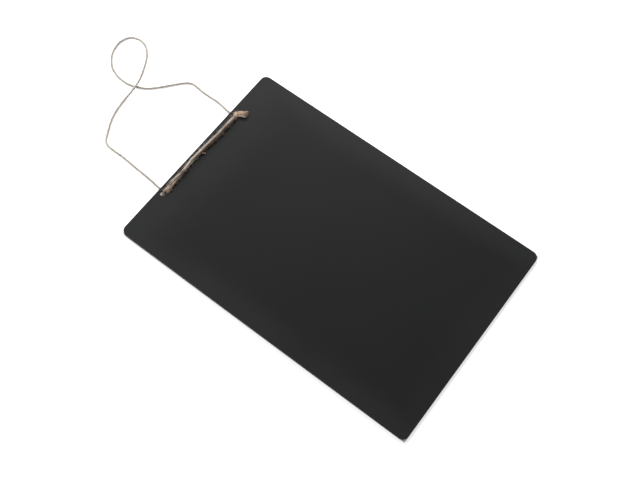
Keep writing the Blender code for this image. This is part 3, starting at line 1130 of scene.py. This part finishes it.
jute = {
    "shade": (0.26, 0.17, 0.11),
    "straw": (0.58, 0.495, 0.415),
    "pale": (0.84, 0.76, 0.65),
    "warm": (0.94, 0.53, 0.29),
    "paintedShadeColour": (0.125, 0.064, 0.034),
    "faded": (0.43, 0.41, 0.375),
    "stops": (0.28, 0.5, 0.68),
    "warmShare": 0.7,
    "fadedShare": 0.6,
    "paintedShadeShare": 0.9,
    "paintedShadeContrast": 2.8,
    "paintedShadeSlope": 1.5,
    "paintedShadeLoss": 0.5,
    "paintedShadeOnset": 10,
    # scale and detail of each pattern
    "dusk": (140, 1.0),
    "streak": (4.5, 3.0),
    "patch": (90, 2.0),
    "streakRoughness": 0.65,
    "streakShare": 0.9,
    "patchShare": 0.5,
    "toneLoss": 0.2,
    "roughness": 0.88,
    "specular": 0.3,
    "sheen": 0.25,
    "reliefDepth": 0.00012,
    "reliefStrength": 0.7,
}


def makeJute():
    # Straw with paler and darker streaks, warmer or faded where the lines say so, and dark brown
    # spots of painted shade where their dusk look says so
    material, tree, shader = newMaterial("juteTwine")

    def kept(name, output="Fac"):
        return addNode(tree, "ShaderNodeAttribute", attribute_name=name).outputs[output]

    streak = noise(tree, kept("strandCoord", "Vector"), *jute["streak"])["Fac"]
    streak.node.inputs["Roughness"].default_value = jute["streakRoughness"]
    place = tree.nodes.new("ShaderNodeTexCoord").outputs["Object"]
    patch = noise(tree, place, *jute["patch"])["Fac"]
    tone = timesPlus(tree, patch, jute["patchShare"],
                     timesPlus(tree, streak, jute["streakShare"], -jute["toneLoss"]))
    tone = calc(tree, "ADD", tone, kept("tone"))
    colour = makeRamp(tree, tone, jute["stops"], (jute["shade"], jute["straw"], jute["pale"]))
    colour = tinted(tree, colour, times(tree, kept("warmth"), jute["warmShare"]), jute["warm"])
    # Painted shade: dark brown spots, denser where a line's dusk look is higher, for the shade on
    # the lower strand and in the gaps between strands
    level = timesPlus(tree, kept("dusk"), jute["paintedShadeSlope"],
                      -jute["paintedShadeLoss"] - jute["paintedShadeContrast"] / 2)
    spots = timesPlus(tree, noise(tree, place, *jute["dusk"])["Fac"], jute["paintedShadeContrast"], level)
    spots.node.use_clamp = True
    some = calc(tree, "MINIMUM", times(tree, kept("dusk"), jute["paintedShadeOnset"]), 1)
    colour = tinted(tree, colour, times(tree, some, spots, jute["paintedShadeShare"]), jute["paintedShadeColour"])
    colour = tinted(tree, colour, times(tree, kept("faded"), jute["fadedShare"]), jute["faded"])
    bump = addNode(tree, "ShaderNodeBump", {"Height": streak, "Strength": jute["reliefStrength"],
                                            "Distance": jute["reliefDepth"]})
    feed(tree, shader, {"Base Color": colour, "Roughness": jute["roughness"],
                        "Specular IOR Level": jute["specular"], "Sheen Weight": jute["sheen"],
                        "Normal": bump.outputs[0]})
    return material


# Table, light and surroundings

studio = {
    "worldLevel": 0.37,
    # each light's place, size and power
    "softKey": ((0.88, 0.58, 0.85), 0.38, 11.8),
    "softBack": ((-0.10, 0.62, 0.42), 0.5, 2.5),
    "tableReach": 4,
    "tableDrop": 0.00005,
    "tableColour": 0.92,
    "tableRoughness": 0.9,
    "tableGlow": (0.52, 0.75),
    "tableGlowReach": (0.6, 1.8),
}


def seenDirectly(tree):
    # 1 for what the camera sees, straight or in a reflection or through glass
    rays = tree.nodes.new("ShaderNodeLightPath").outputs
    seen = calc(tree, "MAXIMUM", rays["Is Camera Ray"], rays["Is Glossy Ray"])
    return calc(tree, "MAXIMUM", seen, rays["Is Transmission Ray"])


def makeSoftLight(name, place, size, power):
    light = bpy.data.lights.new(name, "AREA")
    light.shape = "DISK"
    light.size = size
    light.energy = power
    lamp = addObject(name, light)
    lamp.location = place
    lamp.rotation_euler = Vector(place).to_track_quat("Z", "Y").to_euler()


def makeTable():
    # White, with a little glow where it is seen, but none under the board and in its holes
    mesh = bpy.data.meshes.new("whiteTable")
    reach = studio["tableReach"]
    corners = [(-reach, -reach, 0), (reach, -reach, 0), (reach, reach, 0), (-reach, reach, 0)]
    mesh.from_pydata(corners, [], [(0, 1, 2, 3)])
    table = addObject("whiteTable", mesh)
    table.location.z = -studio["tableDrop"]
    material, tree, shader = newMaterial("whiteTable")
    place = tree.nodes.new("ShaderNodeTexCoord").outputs["Object"]
    axes = addNode(tree, "ShaderNodeSeparateXYZ", {"Vector": place}).outputs
    beyond = [calc(tree, "GREATER_THAN", calc(tree, "ABSOLUTE", axes[axis]), board[side] / 2)
              for axis, side in (("X", "width"), ("Y", "height"))]
    length = addNode(tree, "ShaderNodeVectorMath", {0: place}, operation="LENGTH").outputs["Value"]
    level = smoothMap(tree, length, *studio["tableGlowReach"], *studio["tableGlow"])
    glow = times(tree, seenDirectly(tree), calc(tree, "MAXIMUM", *beyond), level)
    feed(tree, shader, {
        "Base Color": (*[studio["tableColour"]] * 3, 1), "Roughness": studio["tableRoughness"],
        "Specular IOR Level": 0, "Emission Color": (1, 1, 1, 1), "Emission Strength": glow})
    mesh.materials.append(material)


def makeStudio():
    world = bpy.data.worlds.new("softWhiteRoom")
    bpy.context.scene.world = world
    world.use_nodes = True
    tree = world.node_tree
    level = timesPlus(tree, seenDirectly(tree), 1 - studio["worldLevel"], studio["worldLevel"])
    feed(tree, tree.nodes["Background"], {"Color": (1, 1, 1, 1), "Strength": level})
    for name in ("softKey", "softBack"):
        makeSoftLight(name, *studio[name])
    makeTable()
    print("studio ready")


bpy.context.scene.view_settings.view_transform = "Standard"
makeCamera()
leftPiece, rightPiece, loopPiece, loopPath = makeTwine(makeJute())
print("twine ready")
panelPiece = makePanel(makeLacquer())
makeStudio()

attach(panelPiece, "board")
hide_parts("board_panel")
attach(leftPiece, "board")
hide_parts("left_twine_end")
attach(rightPiece, "board")
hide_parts("right_twine_end")
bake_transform(loopPiece)
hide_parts("hanging_loop")
